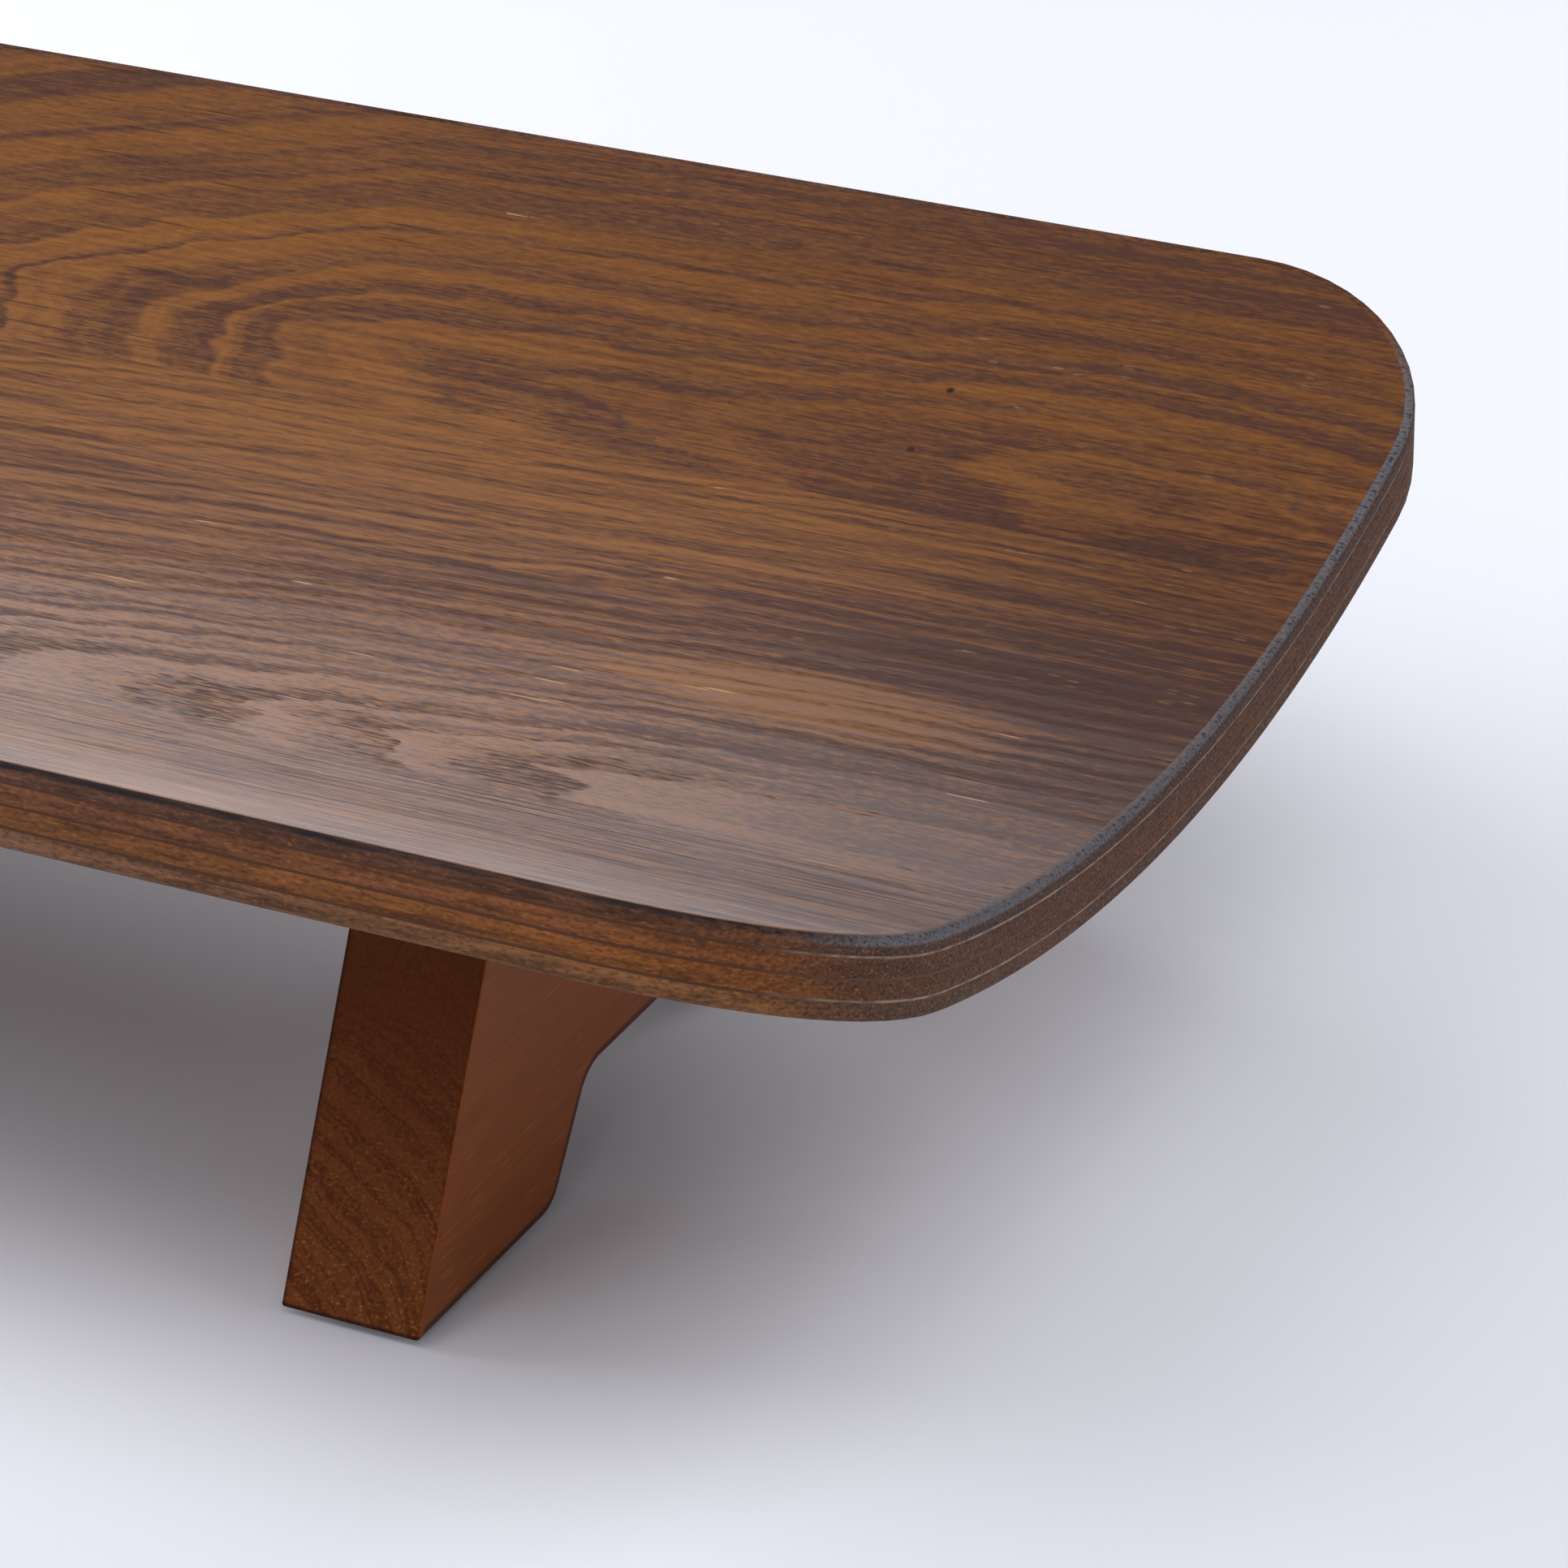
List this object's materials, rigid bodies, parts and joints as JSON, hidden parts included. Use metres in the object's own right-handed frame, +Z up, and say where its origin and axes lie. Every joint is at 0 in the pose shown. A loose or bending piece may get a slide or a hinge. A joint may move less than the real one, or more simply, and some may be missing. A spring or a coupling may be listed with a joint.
{
  "type": "footed tray",
  "caption": "Bent-plywood serving tray, dished across its width with rounded corners, standing on splayed, arched wooden legs with rubber pads.",
  "frame": {"origin": "on the table, under the middle of the tray", "axes": "+X along the tray, +Y across it towards the rear edge, +Z up"},
  "size_m": [0.4, 0.203, 0.0843],
  "materials": {
    "face_veneer": "walnut-stained ash veneer, satin lacquer",
    "core_veneer": "stained core veneer, cut edge",
    "leg_wood": "walnut-stained solid wood, satin lacquer",
    "screw_steel": "zinc plated",
    "pad_rubber": "matt moulded rubber"
  },
  "bodies": {
    "root": {"top_face_ply": "face_veneer", "upper_core_ply": "core_veneer", "lower_core_ply": "core_veneer", "bottom_face_ply": "face_veneer", "left_leg": "leg_wood", "right_leg": "leg_wood", "left_front_screw": "screw_steel", "left_rear_screw": "screw_steel", "right_front_screw": "screw_steel", "right_rear_screw": "screw_steel", "left_front_foot_pad": "pad_rubber", "left_rear_foot_pad": "pad_rubber", "right_front_foot_pad": "pad_rubber", "right_rear_foot_pad": "pad_rubber"}
  },
  "joints": []
}
